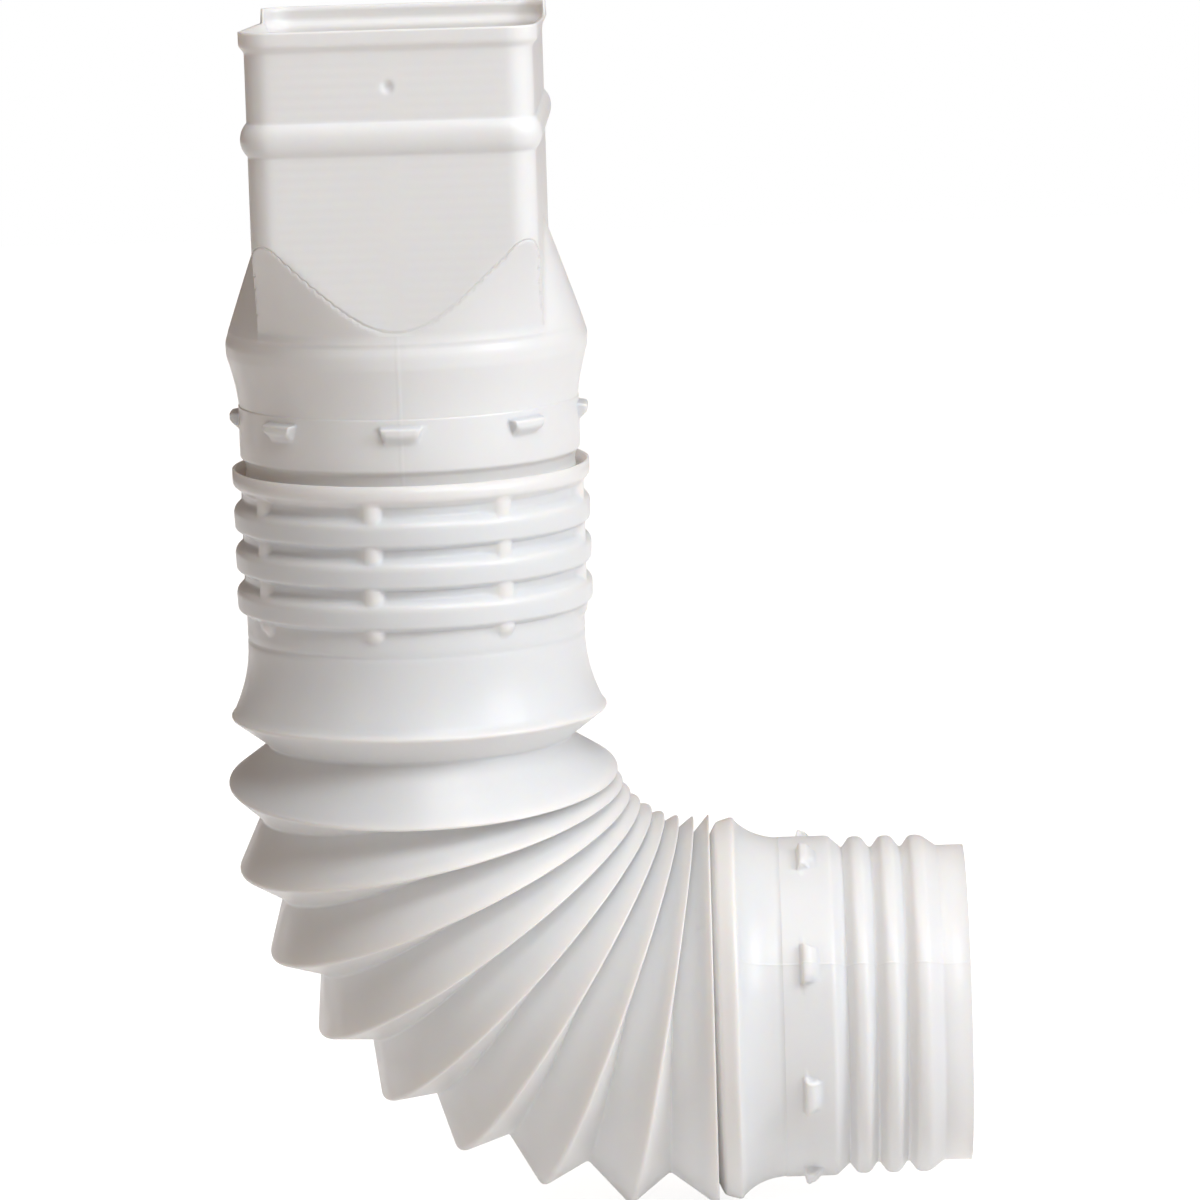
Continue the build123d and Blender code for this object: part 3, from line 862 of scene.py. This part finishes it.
def outlet_rows(angles, axes, origin, inset, steps):
    """Rows of points of the outlet, from just below the last crest to its plain end, with its lugs."""
    neck = OUTLET_BAND_RADIUS - BAND_STEP
    flare = bend((LAST_CREST_RADIUS, 0.0), (neck + OUTLET_FLARE_BEND_RISE, -OUTLET_FLARE_BEND),
                 (neck, -OUTLET_FLARE_LENGTH), OUTLET_FLARE_ROWS)
    start = OUTLET_FLARE_LENGTH
    lug_end = -start - OUTLET_LUG_TOP - LUG_LENGTH
    corners = np.array([
        (neck, -start + BAND_STEP_RUN), (OUTLET_BAND_RADIUS, -start - BAND_STEP_RUN),
        (OUTLET_BAND_RADIUS, lug_end),
        *cuff(start, OUTLET_BAND_RADIUS, OUTLET_RIB_RADIUS, OUTLET_RIB_RADIUS - RIB_HEIGHT)])
    lengths = [BAND_STEP_CORNER] * 2 + [0.0] + [OUTLET_EDGE_CORNER] * 2
    lengths += list(RIB_CORNERS) * RIB_COUNT + [0.0]
    rows = rounded(corners, lengths, steps)
    band_end = np.flatnonzero(rows[:, 1] > lug_end - TOUCH)[-1]
    band_step = OUTLET_ROW_STEP if inset == 0 else OUTLET_INNER_ROW_STEP
    rows = np.concatenate([flare[1:-1], filled(rows[:band_end + 1], band_step), rows[band_end + 1:]])
    radii, heights = spread(rows, inset, angles)
    lugs = lug_radius(angles, heights, -start - OUTLET_LUG_TOP, OUTLET_BAND_RADIUS, OUTLET_LUG_AZIMUTH)
    radii = smooth_max(radii, np.where(heights < -start, lugs - inset, 0.0), LUG_BLEND)
    if inset == 0:
        radii = radii + parting_seam(
            angles, OUTLET_LUG_AZIMUTH, OUTLET_BAND_RADIUS, OUTLET_SEAM_RISE, OUTLET_SEAM_HALF_WIDTH)
    return ring_points(axes, origin, radii, angles, heights)


def elbow_rows(sizes, inset, steps):
    """Rows of points of one skin of the elbow, from the bell's mouth to the outlet's end. The skin lies
    inset inside the outer one."""
    angles = elbow_columns(sizes)
    bell = bell_rows(angles, inset, steps)
    corners, lengths = bellows_corners(angles, sizes, inset > 0)
    axes, origin = crest_frames(sizes)[-1]
    outlet = outlet_rows(angles, axes, origin, inset, steps)
    corners = np.concatenate([bell[-1:], corners, outlet[:1]])
    bellows = rounded(corners, [0.0] + lengths + [0.0], steps)
    return np.concatenate([bell, bellows[1:-1], outlet])


def linked_maths(tree):
    """A function that adds a Math node: numbers go on its sockets and other values are linked to them."""
    def maths(operation, *values):
        node = tree.nodes.new("ShaderNodeMath")
        node.operation = operation
        for socket, value in zip(node.inputs, values):
            if isinstance(value, float):
                socket.default_value = value
            else:
                tree.links.new(value, socket)
        return node.outputs[0]
    return maths


def dented(tree, height, distance, normal=None):
    """The normal that a bump of a height gives, on top of another normal."""
    bump = tree.nodes.new("ShaderNodeBump")
    bump.inputs["Strength"].default_value = 1.0
    bump.inputs["Distance"].default_value = distance
    tree.links.new(height, bump.inputs["Height"])
    if normal:
        tree.links.new(normal, bump.inputs["Normal"])
    return bump.outputs["Normal"]


def arch_line(tree, place, width, half_depth):
    """The normal of the fine line along the arch, where the cone cuts the walls.

    With f = sqrt(x^2 + y^2) - cone(z), the wall has f below 0 and the cone has f = 0. The height of the
    bump is |f + width| over its share of the width, at most 1, so the line is a groove at f = -width.
    """
    maths = linked_maths(tree)
    split = tree.nodes.new("ShaderNodeSeparateXYZ")
    tree.links.new(place.outputs["Object"], split.inputs["Vector"])
    x, y, z = split.outputs["X"], split.outputs["Y"], split.outputs["Z"]
    away = maths("SQRT", maths("MULTIPLY_ADD", x, x, maths("MULTIPLY", y, y)))
    square, slope, level = [float(factor) for factor in arch_curve(half_depth, 0.0)]
    cone = maths("MULTIPLY_ADD", maths("MULTIPLY_ADD", z, square, slope), z, level)
    from_line = maths("ABSOLUTE", maths("ADD", maths("SUBTRACT", away, cone), width))
    groove = maths("MINIMUM", maths("DIVIDE", from_line, width * ARCH_GROOVE_WIDTH), 1.0)
    from_middle = maths("ABSOLUTE", maths("ADD", z, (TRANSITION_TOP + TRANSITION_END) / 2))
    elsewhere = maths("GREATER_THAN", from_middle, (TRANSITION_END - TRANSITION_TOP) / 2)
    return dented(tree, maths("MAXIMUM", groove, elsewhere), ARCH_GROOVE_DEPTH)


def plastic(look, half_depth):
    """White blow-moulded plastic: a satin skin over a faintly clouded white that lets some light through.

    Slow noise clouds the colour, finer noise varies the gloss, and two sizes of noise dent the skin below
    the line of the arch: the sag of a blown wall and the fine blasting of the mould.
    """
    material = bpy.data.materials.new(PLASTIC)
    material.use_nodes = True
    nodes, links = material.node_tree.nodes, material.node_tree.links
    shader = nodes["Principled BSDF"]
    place = nodes.new("ShaderNodeTexCoord")

    def noise(scale, detail):
        node = nodes.new("ShaderNodeTexNoise")
        node.inputs["Scale"].default_value = scale
        node.inputs["Detail"].default_value = detail
        links.new(place.outputs["Object"], node.inputs["Vector"])
        return node.outputs["Fac"]

    tint = nodes.new("ShaderNodeMix")
    tint.data_type = "RGBA"
    tint.inputs["A"].default_value = (*look.colour, 1.0)
    tint.inputs["B"].default_value = (*look.warm_colour, 1.0)
    links.new(noise(*CLOUDS), tint.inputs["Factor"])
    links.new(tint.outputs["Result"], shader.inputs["Base Color"])

    gloss = nodes.new("ShaderNodeMapRange")
    gloss.inputs["From Min"].default_value, gloss.inputs["From Max"].default_value = NOISE_RANGE
    gloss.inputs["To Min"].default_value = look.roughness - GLOSS_FALL
    gloss.inputs["To Max"].default_value = look.roughness + GLOSS_RISE
    links.new(noise(*GLOSS_PATCHES), gloss.inputs["Value"])
    links.new(gloss.outputs["Result"], shader.inputs["Roughness"])

    normal = arch_line(material.node_tree, place, look.arch_line, half_depth)
    for scale, detail, distance in DENTS:
        normal = dented(material.node_tree, noise(scale, detail), distance, normal)
    links.new(normal, shader.inputs["Normal"])
    shader.inputs["Subsurface Weight"].default_value = look.translucency
    shader.inputs["Subsurface Radius"].default_value = SCATTER_COLOUR
    shader.inputs["Subsurface Scale"].default_value = SCATTER_DEPTH
    shader.inputs["IOR"].default_value = REFRACTION
    return material


def dress(piece, node, material):
    """Gives a finished piece its plastic and its place in the frame."""
    piece.data.materials.append(material)
    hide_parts(node)
    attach(piece, BODY)


def shared_plastic():
    """The plastic material, made once."""
    scene = bpy.context.scene
    found = bpy.data.materials.get(PLASTIC)
    return found if found else plastic(scene.plastic_look, scene.adapter_sizes.socket_depth / 2)


class MESH_OT_downspout_socket(bpy.types.Operator):
    """Builds the socket piece as one closed surface: outer skin down, inner skin back up"""
    bl_idname = "mesh.downspout_socket"
    bl_label = "Socket piece"

    def execute(self, context):
        sizes = context.scene.adapter_sizes
        outer = adapter_rows(sizes, 0.0, *SOCKET_GRID)
        inner = adapter_rows(sizes, SOCKET_WALL, *SOCKET_INNER_GRID)
        piece = closed_skin("socket_piece", np.concatenate([outer, inner[::-1]]))
        dress(piece, "downspout_adapter", shared_plastic())
        return {"FINISHED"}


class MESH_OT_flexible_elbow(bpy.types.Operator):
    """Builds the flexible elbow as one closed surface: bell, bellows and outlet, outer and inner skin"""
    bl_idname = "mesh.flexible_elbow"
    bl_label = "Flexible elbow"

    def execute(self, context):
        sizes = context.scene.elbow_sizes
        outer = elbow_rows(sizes, 0.0, ELBOW_CORNER_ROWS)
        inner = elbow_rows(sizes, ELBOW_WALL, ELBOW_INNER_CORNER_ROWS)
        piece = closed_skin("elbow_piece", np.concatenate([outer, inner[::-1]]))
        dress(piece, "flexible_elbow", shared_plastic())
        return {"FINISHED"}


def place_camera():
    """A long lens level with the photograph's: the columns of view are the object's axes seen from it."""
    a, e, r = np.radians([CAMERA_AZIMUTH, CAMERA_ELEVATION, CAMERA_ROLL])
    right = np.array([1.0, 0.0, 0.0])
    front = np.array([0.0, -np.sin(e), -np.cos(e)])
    x = np.cos(a) * right + np.sin(a) * front
    y = np.sin(a) * right - np.cos(a) * front
    z = np.array([0.0, np.cos(e), -np.sin(e)])
    roll = np.array([[np.cos(r), -np.sin(r), 0.0], [np.sin(r), np.cos(r), 0.0], [0.0, 0.0, 1.0]])
    view = roll @ np.stack([x, y, z], axis=-1)
    middle = PICTURE / 2
    offset = PIXEL * np.array([CREST_ZERO_PIXEL[0] - middle, middle - CREST_ZERO_PIXEL[1], FOCAL_PIXELS])
    position = np.array([0.0, 0.0, -BELL_TOP - CREST_ZERO_DEPTH]) - view.T @ offset
    turned = np.stack([view.T[:, 0], view.T[:, 1], -view.T[:, 2]], axis=-1)
    data = bpy.data.cameras.new("long_lens")
    data.sensor_width = SENSOR
    data.lens = FOCAL_PIXELS / PICTURE * SENSOR
    data.clip_end = CLIP_END
    camera = bpy.data.objects.new("long_lens", data)
    camera.matrix_world = Matrix.Translation(position) @ Matrix(turned.tolist()).to_4x4()
    bpy.context.scene.collection.objects.link(camera)
    bpy.context.scene.camera = camera


def seen_white(material, strength):
    """Adds to a surface, for camera, glossy and transmission rays alone, a white glow under its shading."""
    nodes, links = material.node_tree.nodes, material.node_tree.links
    shader = nodes["Principled BSDF"]
    maths = linked_maths(material.node_tree)
    path = nodes.new("ShaderNodeLightPath")
    seen = maths("MAXIMUM", path.outputs["Is Camera Ray"], path.outputs["Is Glossy Ray"])
    seen = maths("MAXIMUM", seen, path.outputs["Is Transmission Ray"])
    glow = nodes.new("ShaderNodeEmission")
    glow.inputs["Strength"].default_value = strength
    added = nodes.new("ShaderNodeAddShader")
    mixed = nodes.new("ShaderNodeMixShader")
    output = nodes["Material Output"]
    links.new(shader.outputs["BSDF"], added.inputs[0])
    links.new(glow.outputs["Emission"], added.inputs[1])
    links.new(seen, mixed.inputs["Fac"])
    links.new(shader.outputs["BSDF"], mixed.inputs[1])
    links.new(added.outputs["Shader"], mixed.inputs[2])
    links.new(mixed.outputs["Shader"], output.inputs["Surface"])


def place_floor():
    """A pale floor just under the lowest fold, white to the camera apart from the object's shadow."""
    low = CAD_BOUNDS[0][2]
    half = FLOOR_HALF_WIDTH
    corners = [(-half, -half, low), (half, -half, low), (half, half, low), (-half, half, low)]
    mesh = bpy.data.meshes.new("studio_floor")
    mesh.from_pydata(corners, [], [(0, 1, 2, 3)])
    floor = bpy.data.objects.new("studio_floor", mesh)
    material = bpy.data.materials.new("pale_floor")
    material.use_nodes = True
    shader = material.node_tree.nodes["Principled BSDF"]
    shader.inputs["Base Color"].default_value = (*FLOOR_COLOUR, 1.0)
    shader.inputs["Roughness"].default_value = FLOOR_ROUGHNESS
    shader.inputs["Specular IOR Level"].default_value = FLOOR_SHEEN
    seen_white(material, FLOOR_GLOW)
    mesh.materials.append(material)
    bpy.context.scene.collection.objects.link(floor)


def place_world(look):
    """Even room light; seen directly, behind the object, the room is white."""
    world = bpy.data.worlds.new("studio_room")
    world.use_nodes = True
    nodes, links = world.node_tree.nodes, world.node_tree.links
    light = nodes["Background"]
    light.inputs["Color"].default_value = (*look.room_colour, 1.0)
    light.inputs["Strength"].default_value = look.room_light
    seen = nodes.new("ShaderNodeBackground")
    seen.inputs["Color"].default_value = (*WHITE, 1.0)
    seen.inputs["Strength"].default_value = 1.0
    path = nodes.new("ShaderNodeLightPath")
    mixed = nodes.new("ShaderNodeMixShader")
    links.new(path.outputs["Is Camera Ray"], mixed.inputs["Fac"])
    links.new(light.outputs["Background"], mixed.inputs[1])
    links.new(seen.outputs["Background"], mixed.inputs[2])
    links.new(mixed.outputs["Shader"], nodes["World Output"].inputs["Surface"])
    bpy.context.scene.world = world


def place_lamp(name, softbox, power, colour):
    """A square softbox that shines at the object's middle, from an azimuth to the right of the front."""
    azimuth, elevation, distance, size = softbox
    a, e = np.radians([azimuth, elevation])
    away = np.array([np.sin(a) * np.cos(e), -np.cos(a) * np.cos(e), np.sin(e)])
    data = bpy.data.lights.new(name, "AREA")
    data.size = size
    data.energy = power
    data.color = colour
    lamp = bpy.data.objects.new(name, data)
    turn = Vector(away).to_track_quat("Z", "Y").to_matrix().to_4x4()
    lamp.matrix_world = Matrix.Translation(np.array(LAMP_TARGET) + distance * away) @ turn
    bpy.context.scene.collection.objects.link(lamp)


class SCENE_OT_downspout_stage(bpy.types.Operator):
    """Sets the camera, the pale floor, the room light and the softboxes"""
    bl_idname = "scene.downspout_stage"
    bl_label = "Stage"

    def execute(self, context):
        look = context.scene.studio_look
        place_camera()
        place_floor()
        place_world(look)
        place_lamp("key_softbox", KEY_SOFTBOX, look.key_power, look.key_colour)
        place_lamp("front_softbox", FRONT_SOFTBOX, look.front_power, WHITE)
        place_lamp("top_softbox", TOP_SOFTBOX, look.top_power, WHITE)
        context.scene.view_settings.view_transform = "Standard"
        return {"FINISHED"}


class VIEW3D_PT_downspout(bpy.types.Panel):
    """Lists the pieces of the downspout adapter"""
    bl_label = "Downspout adapter"
    bl_idname = "VIEW3D_PT_downspout"
    bl_space_type = "VIEW_3D"
    bl_region_type = "UI"
    bl_category = "Downspout"

    def draw(self, context):
        scene = context.scene
        for group in (scene.adapter_sizes, scene.elbow_sizes, scene.plastic_look, scene.studio_look):
            box = self.layout.box()
            for name in type(group).__annotations__:
                box.prop(group, name)
        for operator in (MESH_OT_downspout_socket, MESH_OT_flexible_elbow, SCENE_OT_downspout_stage):
            self.layout.operator(operator.bl_idname)


CLASSES = (
    AdapterSizes, ElbowSizes, PlasticLook, StudioLook,
    MESH_OT_downspout_socket, MESH_OT_flexible_elbow, SCENE_OT_downspout_stage, VIEW3D_PT_downspout,
)


def register():
    """Registers the classes and gives the scene its groups of sizes and looks."""
    for item in CLASSES:
        bpy.utils.register_class(item)
    bpy.types.Scene.adapter_sizes = PointerProperty(type=AdapterSizes)
    bpy.types.Scene.elbow_sizes = PointerProperty(type=ElbowSizes)
    bpy.types.Scene.plastic_look = PointerProperty(type=PlasticLook)
    bpy.types.Scene.studio_look = PointerProperty(type=StudioLook)


def unregister():
    """Takes back what register did."""
    del bpy.types.Scene.studio_look
    del bpy.types.Scene.plastic_look
    del bpy.types.Scene.elbow_sizes
    del bpy.types.Scene.adapter_sizes
    for item in reversed(CLASSES):
        bpy.utils.unregister_class(item)


def main():
    register()
    bpy.ops.mesh.downspout_socket()
    bpy.ops.mesh.flexible_elbow()
    bpy.ops.scene.downspout_stage()


if __name__ == "__main__":
    main()
